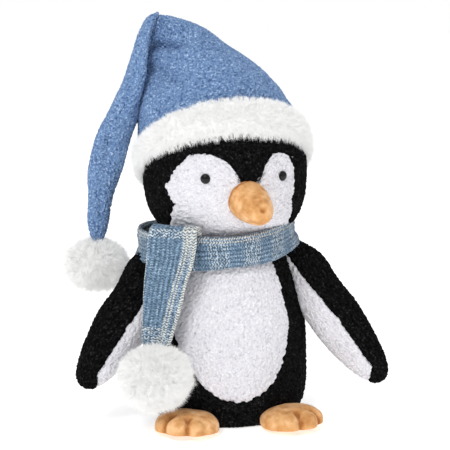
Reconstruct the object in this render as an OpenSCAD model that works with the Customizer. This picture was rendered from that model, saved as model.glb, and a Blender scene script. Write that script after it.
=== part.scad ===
// Plush penguin in a stocking cap and a woven scarf, about 40 cm tall.
// Front is -Y, the penguin's own left is +X, and the origin is the middle of the flat base.

/* [Torso] */
// Largest radius of the torso
body_max_r = 81; // [74:1:84]
// Height at which the torso is widest
body_widest_z = 45; // [40:1:50]
// Height of the neck seam
neck_z = 178; // [177:0.5:179]
// Radius of the flat sewn base disc
base_r = 66; // [58:1:67]
// Thickness of the curly plush with its pile
plush_t = 4; // [3:0.5:4]
// Half-width of the white belly panel
belly_half_w = 54; // [46:1:58]

/* [Head] */
// Largest radius of the head
head_max_r = 80; // [76:1:80]
// Height at which the head is widest
head_widest_z = 244; // [243:1:245]
// Turn of the head to the penguin's left at rest
head_turn = 5; // [0:1:5]
// Azimuth of each eye from the middle of the face
eye_azimuth = 28.4; // [24:0.2:30]
// Height of the eyes
eye_z = 247; // [242:1:249]
// Radius of an eye's dome
eye_r = 4.8; // [4:0.2:5.4]
// Radius of the beak where it is sewn to the face
beak_r = 21; // [17:1:22]
// Length of the beak out of the face
beak_len = 43; // [34:1:44]

/* [Flippers] */
// Length from the shoulder to the tip
flipper_len = 146; // [134:1:148]
// Largest radius of the stuffed flipper
flipper_max_r = 24.5; // [20:0.5:24.5]
// Thickness of the flipper's plush
flipper_skin_t = 3; // [2:0.5:4]

/* [Feet] */
// Radius of the round foot pad
foot_r = 32; // [28:1:33]
// Height of a foot
foot_h = 21; // [16:1:21]
// Distance of a foot's middle from the penguin's axis
foot_out = 100; // [98:1:102]
// Splay of a foot away from straight ahead
foot_splay = 32.7; // [28:0.1:36]

/* [Hat] */
// Outer radius of the fur cuff
cuff_r = 90; // [88:1:91]
// Width of the fur cuff
cuff_w = 39; // [34:1:40]
// Backward tilt of the cuff
cuff_tilt = 28; // [27:1:29]
// Radius of the hat's pompom
hat_pompom_r = 28; // [24:1:28]

/* [Scarf] */
// Width of the scarf's loop round the neck
loop_w = 30; // [24:1:31]
// Thickness of the folded scarf
scarf_t = 8; // [6:0.5:8]
// Width of the hanging tail where it folds over the loop
tail_w = 50; // [40:1:52]
// Radius of the scarf's pompom
scarf_pompom_r = 33; // [28:1:33]

/* [Hidden] */
$fn = 72;

seam_gap = 0.4;            // clearance where two moving bodies meet
flipper_root_r = 10.5;     // radius of the flipper where it meets the shoulder
flipper_press = 4;         // degrees the flipper can be pressed in towards the flank
velour_t = 1.5;            // velour of the beak and feet
body_upper_h = 150;        // height scale of the torso above its widest ring
body_lower_h = 63.5;       // height scale of the torso below it
head_upper_h = 70;         // the same two for the head
head_lower_h = 74;
head_top = head_widest_z + head_upper_h;
profile_steps = 14;

// The hinge points and directions of the moving pieces.
shoulder = [78.3, -13, 148];
flipper_tip = [144, -49, 45];
cuff_centre = [-1, 11.5, 264];
fold_point = [-77, 26, 390];
hat_tie_point = [-124.6, 30, 177.5];
scarf_fold = [-62, -68.5, 190];
scarf_facing = 25;         // the tail faces this far to the right of straight ahead
scarf_tip = [-73.5, -67, 86];
scarf_pompom = [-82, -81, 55];

// One quarter of a superellipse: 1 at t = 0, 0 at t = 1.
function quarter(t, n) = pow(max(0, 1 - pow(abs(t), n)), 1 / n);

function body_r(z) = z > body_widest_z
    ? body_max_r * quarter((z - body_widest_z) / body_upper_h, 2.6)
    : body_max_r * quarter((body_widest_z - z) / body_lower_h, 3);

function head_r(z) = z > head_widest_z
    ? head_max_r * quarter((z - head_widest_z) / head_upper_h, 2.4)
    : head_max_r * quarter((head_widest_z - z) / head_lower_h, 2.5);

// Heights from low to high, closer together near both ends.
function heights(low, high) = [
    for (i = [0:profile_steps]) low + (high - low) * (1 - cos(180 * i / profile_steps)) / 2
];

function superellipse(a, b, n, steps) = [
    for (i = [0:steps - 1])
        let (c = cos(360 * i / steps), s = sin(360 * i / steps))
            [a * sign(c) * pow(abs(c), 2 / n), b * sign(s) * pow(abs(s), 2 / n)]
];

function unit(v) = v / norm(v);

// Places a child that is modelled along +Z so that it starts at a point and runs along a direction,
// with its +X turned as near as it can be to the given side.
module along(start, direction, side) {
    z = unit(direction);
    y = unit(cross(z, side));
    x = cross(y, z);
    multmatrix([
        [x[0], y[0], z[0], start[0]],
        [x[1], y[1], z[1], start[1]],
        [x[2], y[2], z[2], start[2]]
    ]) children();
}

module body_solid(grow, low) {
    rotate_extrude()
        polygon(concat(
            [[0, low]],
            [for (z = heights(low, neck_z)) [body_r(z) + grow, z]],
            [[0, neck_z]]
        ));
}

module head_solid(grow) {
    low = neck_z + seam_gap;
    high = head_top + grow;
    rotate_extrude()
        polygon(concat(
            [[0, low]],
            [for (z = heights(low, head_top - 0.5)) [head_r(z) + grow, z + max(0, (z - head_widest_z) / head_upper_h) * grow]],
            [[0, high]]
        ));
}

module body_skin() {
    difference() {
        body_solid(0, 0);
        body_solid(-plush_t, plush_t);
    }
}

module belly_prism() {
    translate([0, 0, 106])
        rotate([90, 0, 0])
            linear_extrude(height = 120)
                polygon(superellipse(belly_half_w, 84, 2.2, 28));
}

module base_disc(grow) {
    cylinder(r = base_r + grow, h = plush_t);
}

module body_shell() {
    color([0.045, 0.045, 0.05])
        difference() {
            body_skin();
            base_disc(0);
            belly_prism();
        }
}

module belly_panel() {
    color([0.92, 0.92, 0.94])
        intersection() {
            body_skin();
            belly_prism();
        }
}

module base_panel() {
    color([0.05, 0.05, 0.055]) base_disc(-0.05);
}

// A flattened sack that rests on the inside of the base.
module sack(grow) {
    half_h = 20;
    translate([0, 0, plush_t + half_h + 0.1])
        rotate_extrude()
            polygon(concat(
                [[0, -half_h - grow]],
                [for (i = [0:16])
                    let (a = -90 + 180 * i / 16)
                        [(50 + grow) * pow(abs(cos(a)), 0.7), (half_h + grow) * sign(sin(a)) * pow(abs(sin(a)), 0.8)]],
                [[0, half_h + grow]]
            ));
}

module body_stuffing() {
    color([0.95, 0.95, 0.93])
        difference() {
            body_solid(-plush_t, plush_t);
            sack(0.05);
        }
}

module weight_bag() {
    color([0.85, 0.82, 0.75])
        difference() {
            sack(0);
            sack(-0.8);
        }
}

module weight_pellets() {
    color([0.75, 0.78, 0.8]) sack(-0.85);
}

module neck_stitching() {
    color("black")
        translate([0, 0, neck_z + seam_gap / 2])
            rotate_extrude()
                translate([51, 0])
                    circle(r = 0.8);
}

module head_skin() {
    difference() {
        head_solid(0);
        head_solid(-plush_t);
    }
}

// Two round eye lobes over a broad lower face.
module face_prism() {
    rotate([90, 0, 0]) {
        for (side = [-1, 1])
            translate([side * 36, 240, 0]) cylinder(r = 31, h = 120);
        translate([0, 208, 0])
            linear_extrude(height = 120)
                polygon(superellipse(63, 38, 2.6, 28));
    }
}

module in_head() {
    rotate([0, 0, head_turn]) children();
}

// Places a child so that its +Z points out of the face at one eye.
module at_eye(side) {
    in_head()
        rotate([0, 0, side * eye_azimuth])
            translate([0, -head_max_r - 0.15, eye_z])
                rotate([90, 0, 0])
                    children();
}

module head_shell() {
    color([0.045, 0.045, 0.05])
        in_head()
            difference() {
                head_skin();
                face_prism();
            }
}

module face_panel() {
    color([0.9, 0.9, 0.92])
        difference() {
            in_head()
                intersection() {
                    head_skin();
                    face_prism();
                }
            for (side = [-1, 1])
                at_eye(side) translate([0, 0, -10]) cylinder(r = 1.6, h = 12);
        }
}

module head_stuffing() {
    color([0.95, 0.95, 0.93])
        difference() {
            head_solid(-plush_t);
            for (side = [-1, 1])
                at_eye(side) translate([0, 0, -14]) cylinder(r = 6.8, h = 14);
        }
}

// A domed safety eye with its shank.
module eye(side) {
    dome_h = 3.2;
    color("black")
        at_eye(side)
            rotate_extrude()
                polygon(concat(
                    [[0, -11], [1.5, -11], [1.5, 0]],
                    [for (a = [0:10:90]) [eye_r * cos(a), dome_h * sin(a)]]
                ));
}

module eye_washer(side) {
    color([0.8, 0.8, 0.8])
        at_eye(side)
            translate([0, 0, -6.4])
                difference() {
                    cylinder(r = 6, h = 1.5);
                    translate([0, 0, -1]) cylinder(r = 1.55, h = 4);
                }
}

module beak_solid(grow) {
    yaw = 10;
    droop = 18;
    in_head()
        translate([0, -70, 228])
            rotate([0, 0, yaw])
                rotate([90 + droop, 0, 0])
                    rotate_extrude()
                        polygon(concat(
                            [[0, 0], [beak_r + grow, 0]],
                            [for (i = [0:10])
                                let (t = sin(9 * i))
                                    [(beak_r + grow) * quarter(t, 1.9), 9 + (beak_len + grow) * t]]
                        ));
}

module beak_skin() {
    color([0.93, 0.6, 0.25])
        difference() {
            beak_solid(0);
            beak_solid(-velour_t);
            in_head() head_solid(0.1);
        }
}

module beak_stuffing() {
    color([0.95, 0.95, 0.93])
        difference() {
            beak_solid(-velour_t - 0.05);
            in_head() head_solid(0.1);
        }
}

// Places a child in the cuff's own frame: +Z along the hat's opening, -Y to the front.
module in_cuff() {
    in_head()
        translate(cuff_centre)
            rotate([-cuff_tilt, 0, 0])
                children();
}

module hat_cuff() {
    wall = 7;
    color([0.95, 0.95, 0.94])
        in_cuff()
            rotate_extrude()
                translate([cuff_r - wall / 2, 0])
                    polygon(superellipse(wall / 2, cuff_w / 2, 5, 24));
}

// The leaning dome of the crown, as the hull of its hem and three rounded bulges.
module crown_solid(grow) {
    hull() {
        in_cuff() translate([0, 0, cuff_w / 2 + 0.1]) cylinder(r = 84 + grow, h = 1, $fn = 72);
        translate([2, 18, 318]) sphere(r = 54 + grow, $fn = 48);
        translate([-22, 24, 354]) sphere(r = 34 + grow, $fn = 40);
        translate([-66, 26, 387.5]) sphere(r = 9.5 + grow, $fn = 24);
    }
}

module hat_crown() {
    color([0.42, 0.58, 0.82])
        difference() {
            crown_solid(0);
            translate([0, 0, -1]) crown_solid(-plush_t);
            in_cuff() translate([0, 0, -50]) cylinder(r = 84 - plush_t - 0.3, h = 50 + cuff_w / 2 + 8);
        }
}

// A loose wad that holds the point of the crown up.
module hat_stuffing() {
    color([0.95, 0.95, 0.93])
        hull() {
            translate([-2, 20, 335]) sphere(r = 20, $fn = 24);
            translate([-26, 24, 350]) sphere(r = 24, $fn = 24);
            translate([-62, 26, 384]) sphere(r = 4, $fn = 16);
        }
}

// The stuffed flipper's radius at a distance from the shoulder.
function flipper_r(s) = (flipper_root_r + (flipper_max_r - flipper_root_r) * sin(min(90, 90 * s / 72)))
    * quarter(max(0, (s - 72) / (flipper_len - 72)), 2.4);

module flipper_body(grow) {
    along(shoulder, flipper_tip - shoulder, [1, 0, 0.6])
        rotate_extrude()
            polygon(concat(
                [for (a = [-90:18:-18]) [(flipper_root_r + grow) * cos(a), (flipper_root_r + grow) * sin(a)]],
                [for (i = [0:12])
                    let (s = flipper_len * sin(90 * i / 12))
                        [max(0, flipper_r(s) + (i == 12 ? 0 : grow)), s + grow * s / flipper_len]]
            ));
}

// The flipper lies against the flank, with room to be pressed in by a few degrees.
module flipper_solid(grow) {
    difference() {
        flipper_body(grow);
        body_solid(seam_gap - grow, 0);
        along(shoulder, [0, 0, 1], [1, 0, 0])
            rotate([0, -flipper_press, 0])
                translate(-shoulder)
                    body_solid(seam_gap - grow, 0);
    }
}

module flipper_skin() {
    difference() {
        flipper_solid(0);
        flipper_solid(-flipper_skin_t);
    }
}

// The half-space on the flipper's outer or inner side of its seam.
module flipper_half(outer) {
    along(shoulder, flipper_tip - shoulder, [1, 0, 0.6])
        translate([outer ? 0.02 : -60.02, -30, -20])
            cube([60, 60, flipper_len + 40]);
}

module flipper_panel(outer) {
    intersection() {
        flipper_skin();
        flipper_half(outer);
    }
}

module flipper_outer() {
    color([0.045, 0.045, 0.05]) flipper_panel(true);
}

module flipper_inner() {
    color([0.9, 0.9, 0.92]) flipper_panel(false);
}

module flipper_stuffing() {
    color([0.95, 0.95, 0.93]) flipper_solid(-flipper_skin_t);
}

// Places a child in the left foot's frame: its middle on the floor, -Y towards the toes.
module in_foot() {
    rotate([0, 0, foot_splay])
        translate([0, -foot_out, 0])
            children();
}

module foot_dome(grow, low) {
    in_foot()
        rotate_extrude()
            polygon(concat(
                [[0, low]],
                [for (i = [0:10])
                    let (t = sin(9 * i) * (1 - low / (foot_h + grow)))
                        [max(0, (foot_r + grow) * quarter(low / foot_h + t, 2.3)), low + t * (foot_h + grow)]],
                [[0, foot_h + grow]]
            ));
}

// Two pull stitches go through the foot and part its three toes.
module toe_threads(r) {
    in_foot()
        for (side = [-1, 1])
            rotate([0, 0, side * 24])
                translate([0, -17, -1])
                    cylinder(r = r, h = foot_h + 2);
}

// The heel ends against the front of the torso.
module heel_cut(grow) {
    translate([0, 0, -1]) cylinder(r = body_max_r - 0.4 + grow, h = foot_h + 2);
}

module foot_upper() {
    color([0.92, 0.62, 0.3])
        difference() {
            foot_dome(0, velour_t);
            foot_dome(-velour_t, velour_t - 0.01);
            heel_cut(0);
            toe_threads(0.7);
        }
}

module foot_sole() {
    color([0.88, 0.58, 0.28])
        difference() {
            in_foot() cylinder(r = foot_r, h = velour_t);
            heel_cut(0);
            toe_threads(0.7);
        }
}

module foot_stuffing() {
    color([0.95, 0.95, 0.93])
        difference() {
            foot_dome(-velour_t - 0.05, velour_t + 0.05);
            heel_cut(velour_t);
            toe_threads(0.7);
        }
}

module toe_stitches() {
    color([0.8, 0.5, 0.2])
        intersection() {
            toe_threads(0.6);
            in_foot() translate([0, 0, 0.5]) cylinder(r = foot_r, h = foot_h - 3);
        }
}

// The empty end of the stocking cap, folded over and hanging down beside the cuff: each ring's
// middle, then its half-width and half-depth.
tail_route = [
    [-84, 26, 383, 6, 7], [-93, 26, 356, 9, 9], [-97, 26, 330, 12, 10], [-107, 26, 294, 16, 10],
    [-116.5, 27, 258, 17, 10], [-121, 28, 226, 13.5, 9], [-124, 29, 203, 10, 8],
    [-124.6, 30, 185.5, 7, 7]
];

module tail_ring(ring) {
    translate([ring[0], ring[1], ring[2]])
        scale([1, ring[4] / ring[3], 0.8])
            sphere(r = ring[3], $fn = 24);
}

module hat_tail() {
    color([0.42, 0.58, 0.82])
        for (i = [0:len(tail_route) - 2])
            hull() {
                tail_ring(tail_route[i]);
                tail_ring(tail_route[i + 1]);
            }
}

// A pompom of fur cloth gathered over a ball of filling, with the thread that ties it on.
module pompom_fur(centre, r, tie) {
    difference() {
        translate(centre) sphere(r = r);
        translate(centre) sphere(r = r - 6);
        pompom_tie(centre, r, tie, 0.95);
    }
}

module pompom_filling(centre, r, tie) {
    difference() {
        translate(centre) sphere(r = r - 6.05);
        pompom_tie(centre, r, tie, 0.95);
    }
}

module pompom_tie(centre, r, tie, thread_r) {
    along(tie, centre - tie, [0, 1, 0.1]) cylinder(r = thread_r, h = r - 6);
}

hat_pompom = [hat_tie_point[0], hat_tie_point[1], hat_tie_point[2] - 1 - hat_pompom_r];

module scarf_loop() {
    low_r = 66.5;
    flare = 5;
    color([0.45, 0.6, 0.74])
        translate([-3, -1, 177])
            rotate([2, -2.5, 0])
                rotate_extrude()
                    polygon([
                        [low_r, -loop_w / 2], [low_r + scarf_t - 1, -loop_w / 2], [low_r + scarf_t, 1 - loop_w / 2],
                        [low_r + scarf_t + flare, loop_w / 2 - 1], [low_r + scarf_t + flare - 1, loop_w / 2],
                        [low_r + flare, loop_w / 2]
                    ]);
}

// Places a child in the scarf tail's frame: +X along its width, -Z down it, -Y away from the belly.
module in_scarf_tail() {
    translate(scarf_fold)
        rotate([0, 0, -scarf_facing])
            rotate([0, 8, 0])
                children();
}

module scarf_tail() {
    drop = 86;
    end_r = 18;
    color([0.45, 0.6, 0.74])
        in_scarf_tail() {
            rotate([0, 90, 0]) cylinder(r = 5, h = tail_w, center = true);
            rotate([90, 0, 0])
                linear_extrude(height = scarf_t, center = true)
                    polygon([[-tail_w / 2, 0], [tail_w / 2, 0], [end_r, -drop], [-end_r, -drop]]);
            translate([0, 0, -drop])
                rotate([90, 0, 0])
                    intersection() {
                        cylinder(r = end_r, h = scarf_t, center = true);
                        translate([-50, -100, -50]) cube([100, 100.1, 100]);
                    }
        }
}

module fur() {
    color([0.95, 0.95, 0.94]) children();
}

module filling() {
    color([0.93, 0.93, 0.9]) children();
}

module thread() {
    color("white") children();
}

body_shell();
belly_panel();
base_panel();
body_stuffing();
weight_bag();
weight_pellets();
neck_stitching();
scarf_loop();
head_shell();
face_panel();
head_stuffing();
eye(1);  // left_eye
eye(-1);  // right_eye
eye_washer(1);  // left_eye_washer
eye_washer(-1);  // right_eye_washer
beak_skin();
beak_stuffing();
hat_crown();
hat_cuff();
hat_stuffing();
flipper_outer();  // left_flipper_outer
flipper_inner();  // left_flipper_inner
flipper_stuffing();  // left_flipper_stuffing
mirror([1, 0, 0]) flipper_outer();  // right_flipper_outer
mirror([1, 0, 0]) flipper_inner();  // right_flipper_inner
mirror([1, 0, 0]) flipper_stuffing();  // right_flipper_stuffing
foot_upper();  // left_foot_upper
foot_sole();  // left_foot_sole
foot_stuffing();  // left_foot_stuffing
toe_stitches();  // left_toe_stitches
mirror([1, 0, 0]) foot_upper();  // right_foot_upper
mirror([1, 0, 0]) foot_sole();  // right_foot_sole
mirror([1, 0, 0]) foot_stuffing();  // right_foot_stuffing
mirror([1, 0, 0]) toe_stitches();  // right_toe_stitches
hat_tail();
fur() pompom_fur(hat_pompom, hat_pompom_r, hat_tie_point);  // hat_pompom_fur
filling() pompom_filling(hat_pompom, hat_pompom_r, hat_tie_point);  // hat_pompom_filling
thread() pompom_tie(hat_pompom, hat_pompom_r, hat_tie_point, 0.85);  // hat_pompom_tie
scarf_tail();
fur() pompom_fur(scarf_pompom, scarf_pompom_r, scarf_tip);  // scarf_pompom_fur
filling() pompom_filling(scarf_pompom, scarf_pompom_r, scarf_tip);  // scarf_pompom_filling
thread() pompom_tie(scarf_pompom, scarf_pompom_r, scarf_tip, 0.85);  // scarf_pompom_tie
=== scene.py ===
"""The looks of the plush penguin: curly plush panels, fur trim, a woven scarf and velour feet and beak."""
import math

import bpy
import numpy as np
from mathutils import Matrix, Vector
from mathutils.kdtree import KDTree


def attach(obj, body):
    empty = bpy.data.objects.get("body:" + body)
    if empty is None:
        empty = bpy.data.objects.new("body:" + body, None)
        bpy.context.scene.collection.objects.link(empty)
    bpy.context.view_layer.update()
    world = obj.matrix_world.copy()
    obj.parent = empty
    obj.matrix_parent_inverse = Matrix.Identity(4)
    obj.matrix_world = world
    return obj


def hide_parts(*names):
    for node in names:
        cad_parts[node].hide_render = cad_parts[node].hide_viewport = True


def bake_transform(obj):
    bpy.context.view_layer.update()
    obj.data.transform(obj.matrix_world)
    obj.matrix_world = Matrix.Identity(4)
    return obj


MM = 0.001
TURN = 2 * math.pi

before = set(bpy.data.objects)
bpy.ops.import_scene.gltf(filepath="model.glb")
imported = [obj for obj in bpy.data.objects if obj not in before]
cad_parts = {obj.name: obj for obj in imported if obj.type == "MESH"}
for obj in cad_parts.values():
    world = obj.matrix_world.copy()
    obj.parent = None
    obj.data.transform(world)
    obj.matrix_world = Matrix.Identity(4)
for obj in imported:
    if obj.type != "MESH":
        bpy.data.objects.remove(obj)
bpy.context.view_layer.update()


# ---------------------------------------------------------------- steady noise, in millimetres

# How far a curl's nearest middle may lie, squared and in steps of the spacing, before there is a gap.
NUB_REACH = 0.75


def cell_numbers(cell, seed, count):
    """Steady random numbers from 0 to 1 for each whole-number cell."""
    c = cell.astype(np.int64)
    h = (c[..., 0] * 73856093) ^ (c[..., 1] * 19349663) ^ (c[..., 2] * 83492791) ^ (seed * 1000003)
    numbers = []
    for k in range(count):
        h = ((h ^ (h >> 13)) * 1274126177 + k * 7919) & 0x7FFFFFFFFFFF
        numbers.append(((h ^ (h >> 17)) & 0xFFFF) / 65535.0)
    return np.stack(numbers, -1)


def soft_noise(p, size, seed):
    """Smooth noise from -1 to 1 with lumps of about the given size."""
    q = p / size
    base = np.floor(q)
    f = q - base
    f = f * f * (3 - 2 * f)
    total = np.zeros(len(p))
    for dx in (0, 1):
        for dy in (0, 1):
            for dz in (0, 1):
                corner = cell_numbers(base + (dx, dy, dz), seed, 1)[..., 0]
                weight = (
                    (f[:, 0] if dx else 1 - f[:, 0])
                    * (f[:, 1] if dy else 1 - f[:, 1])
                    * (f[:, 2] if dz else 1 - f[:, 2])
                )
                total += weight * corner
    return total * 2 - 1


def nubs(p, size, seed):
    """Rounded nubs packed at about the given spacing: 1 on top of each, 0 in the gaps."""
    q = p / size
    base = np.floor(q)
    nearest = np.full(len(p), 9.0)
    for dx in (-1, 0, 1):
        for dy in (-1, 0, 1):
            for dz in (-1, 0, 1):
                cell = base + (dx, dy, dz)
                gap = cell + cell_numbers(cell, seed, 3) - q
                nearest = np.minimum(nearest, (gap * gap).sum(1))
    return np.clip(1 - nearest / NUB_REACH, 0, 1)


def curls(p, size, seed):
    """The height of curly pile: nubs drawn out into short worms, with finer ones on top."""
    warp = np.stack([soft_noise(p, size * 1.1, seed + k) for k in (1, 2, 3)], -1)
    q = p + warp * size * 0.45
    return 0.65 * nubs(q, size, seed) + 0.35 * nubs(q + 50, size * 0.55, seed + 7)


# ---------------------------------------------------------------- mesh helpers


def deselect():
    if bpy.context.object and bpy.context.object.mode != "OBJECT":
        bpy.ops.object.mode_set(mode="OBJECT")
    bpy.ops.object.select_all(action="DESELECT")


def points(piece):
    p = np.empty(len(piece.data.vertices) * 3, np.float32)
    piece.data.vertices.foreach_get("co", p)
    return p.reshape(-1, 3).astype(float) / MM


def place_points(piece, p):
    piece.data.vertices.foreach_set("co", (np.asarray(p) * MM).astype(np.float32).ravel())
    piece.data.update()


def normals(piece):
    n = np.empty(len(piece.data.vertices) * 3, np.float32)
    piece.data.vertices.foreach_get("normal", n)
    return n.reshape(-1, 3).astype(float)


def keep_number(piece, name, values):
    attribute = piece.data.attributes.get(name) or piece.data.attributes.new(name, "FLOAT", "POINT")
    attribute.data.foreach_set("value", np.asarray(values, np.float32))


def edit(piece, *steps):
    """Runs mesh operators on the whole piece in edit mode."""
    deselect()
    piece.select_set(True)
    bpy.context.view_layer.objects.active = piece
    bpy.ops.object.mode_set(mode="EDIT")
    bpy.ops.mesh.select_all(action="SELECT")
    for step in steps:
        step()
    bpy.ops.object.mode_set(mode="OBJECT")


def delete_points(piece, gone):
    """Deletes the points that are marked, with the faces that hang on them."""
    edit(piece, lambda: bpy.ops.mesh.select_all(action="DESELECT"))
    piece.data.vertices.foreach_set("select", gone)
    bpy.ops.object.mode_set(mode="EDIT")
    bpy.ops.mesh.delete(type="VERT")
    bpy.ops.object.mode_set(mode="OBJECT")


def apply_modifier(piece, kind, **settings):
    deselect()
    piece.select_set(True)
    bpy.context.view_layer.objects.active = piece
    modifier = piece.modifiers.new(kind.lower(), kind)
    for key, value in settings.items():
        setattr(modifier, key, value)
    bpy.ops.object.modifier_apply(modifier=modifier.name)


def close_ends():
    """Caps every open rim of the piece that is being edited."""
    bpy.ops.mesh.select_all(action="DESELECT")
    bpy.ops.mesh.select_non_manifold()
    bpy.ops.mesh.edge_face_add()
    bpy.ops.mesh.select_all(action="SELECT")
    bpy.ops.mesh.normals_make_consistent(inside=False)


def smooth(piece):
    piece.data.shade_smooth()


def ball(name, cuts):
    """A cube divided evenly and rounded into a unit ball; returns it with its unit directions."""
    deselect()
    bpy.ops.mesh.primitive_cube_add(size=2)
    piece = bpy.context.object
    piece.name = piece.data.name = name
    edit(piece, lambda: bpy.ops.mesh.subdivide(number_cuts=cuts))
    d = np.tan(points(piece) * MM * math.pi / 4)
    d /= np.linalg.norm(d, axis=1)[:, None]
    return piece, d


def sheet_grid(name, across, along):
    """A flat grid; returns it with each point's place from -1 to 1 across and along."""
    deselect()
    bpy.ops.mesh.primitive_grid_add(x_subdivisions=across, y_subdivisions=along, size=2)
    piece = bpy.context.object
    piece.name = piece.data.name = name
    p = points(piece) * MM
    return piece, p[:, 0], p[:, 1]


def disc_grid(name, count):
    """A grid rounded into a unit disc; returns it with its disc coordinates."""
    piece, a, b = sheet_grid(name, count, count)
    return piece, a * np.sqrt(1 - b * b / 2), b * np.sqrt(1 - a * a / 2)


def hoop(name, radius, thick, around, section):
    """A torus; returns it with each point's angle round it and its place out and up in the section."""
    deselect()
    bpy.ops.mesh.primitive_torus_add(
        major_radius=radius * MM, minor_radius=thick * MM, major_segments=around, minor_segments=section
    )
    piece = bpy.context.object
    piece.name = piece.data.name = name
    p = points(piece)
    return piece, np.arctan2(p[:, 1], p[:, 0]), (np.hypot(p[:, 0], p[:, 1]) - radius) / thick, p[:, 2] / thick


def close_tube(piece):
    """Joins a rolled-up grid along its seam and turns its normals outward."""
    edit(
        piece,
        lambda: bpy.ops.mesh.remove_doubles(threshold=0.02 * MM),
        lambda: bpy.ops.mesh.normals_make_consistent(inside=False),
    )


def turned(d, profile):
    """Lays a unit ball's directions over a turned form whose profile runs from bottom pole to top."""
    r, z = np.array(profile, float).T
    step = np.hypot(np.diff(r), np.diff(z)) * (r[1:] + r[:-1]) / 2
    area = np.concatenate([[0], np.cumsum(step)])
    at = (1 + d[:, 2]) / 2 * area[-1]
    radius, height = np.interp(at, area, r), np.interp(at, area, z)
    flat = np.hypot(d[:, 0], d[:, 1]) + 1e-12
    return np.stack([radius * d[:, 0] / flat, radius * d[:, 1] / flat, height], -1)


def quarter(t, n):
    """A quarter of a rounded square: from 1 at 0 to 0 at 1, squarer for a larger n."""
    return np.power(np.maximum(0, 1 - np.power(np.abs(t), n)), 1 / n)


def signed_power(t, n):
    return np.sign(t) * np.power(np.abs(t), n)


def ease(t):
    """Rises smoothly from 0 to 1 as t does."""
    t = np.clip(t, 0, 1)
    return t * t * (3 - 2 * t)


def hump(off, width):
    """1 where off is 0, falling smoothly to 0 on both sides."""
    return np.exp(-((off / width) ** 2))


def turn_between(p, degrees, first, second):
    """Turns points from their first axis towards their second."""
    a = math.radians(degrees)
    c, s = math.cos(a), math.sin(a)
    q = np.array(p, float)
    q[:, first] = c * p[:, first] - s * p[:, second]
    q[:, second] = s * p[:, first] + c * p[:, second]
    return q


def turn_x(p, degrees):
    return turn_between(p, degrees, 1, 2)


def turn_y(p, degrees):
    return turn_between(p, degrees, 2, 0)


def turn_z(p, degrees):
    return turn_between(p, degrees, 0, 1)


def place_on_side(piece, p, side):
    """Places points modelled for the left side, mirrored when the side is -1."""
    p[:, 0] *= side
    place_points(piece, p)
    if side < 0:
        edit(piece, bpy.ops.mesh.flip_normals)


def lay_on_front(piece, x, z, radius):
    """Lays a disc over the front of a turned form; returns its points and its outward normals."""
    place_points(piece, np.stack([x, -np.sqrt(np.maximum(radius * radius - x * x, 1)), z], -1))
    edit(piece, lambda: bpy.ops.mesh.normals_make_consistent(inside=False))
    if normals(piece)[len(x) // 2][1] > 0:
        edit(piece, bpy.ops.mesh.flip_normals)
    return points(piece), normals(piece)


def along_axis(p, start, end, side):
    """Puts points modelled along +Z from a start point towards an end, their +X near the given side."""
    z = np.subtract(end, start)
    z = z / np.linalg.norm(z)
    y = np.cross(z, side)
    y /= np.linalg.norm(y)
    x = np.cross(y, z)
    return np.asarray(start) + p[:, :1] * x + p[:, 1:2] * y + p[:, 2:] * z


def curve_through(knots, t):
    """A smooth curve through rows of numbers, for t from 0 to 1."""
    k = np.array(knots, float)
    at = np.clip(t, 0, 1) * (len(k) - 1)
    i = np.minimum(at.astype(int), len(k) - 2)
    f = (at - i)[:, None]
    a, b, c, d = k[np.maximum(i - 1, 0)], k[i], k[i + 1], k[np.minimum(i + 2, len(k) - 1)]
    return b + 0.5 * f * (c - a + f * (2 * a - 5 * b + 4 * c - d + f * (3 * (b - c) + d - a)))


def raise_pile(piece, height, size, seed, low=0.45, share=None):
    """Lifts the curls of the plush out of a smooth surface and keeps their height, which the colour uses for
    painted shade between the curls.
    """
    p, n = points(piece), normals(piece)
    h = curls(p, size, seed)
    lift = (h - low) * height
    place_points(piece, p + n * (lift if share is None else lift * share)[:, None])
    keep_number(piece, "pile", h)
    smooth(piece)


# ---------------------------------------------------------------- materials


class Value:
    """A socket in a material. Arithmetic on it adds Math nodes."""

    def __init__(self, finish, socket):
        self.finish, self.socket = finish, socket

    def maths(self, operation, *values):
        return self.finish.node("ShaderNodeMath", {"operation": operation}, dict(enumerate(values)))

    def __add__(self, other):
        return self.maths("ADD", self, other)

    def __radd__(self, other):
        return self.maths("ADD", other, self)

    def __sub__(self, other):
        return self.maths("SUBTRACT", self, other)

    def __rsub__(self, other):
        return self.maths("SUBTRACT", other, self)

    def __mul__(self, other):
        return self.maths("MULTIPLY", self, other)

    def __rmul__(self, other):
        return self.maths("MULTIPLY", other, self)

    def __gt__(self, other):
        return self.maths("GREATER_THAN", self, other)

    def sine(self, period):
        return self.maths("SINE", self * (TURN / period))

    def wave(self, period):
        """A sine of this value with the given period, from 0 to 1."""
        return self.sine(period) * 0.5 + 0.5

    def clamp(self):
        return self.finish.node("ShaderNodeClamp", {}, {0: self})


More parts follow.
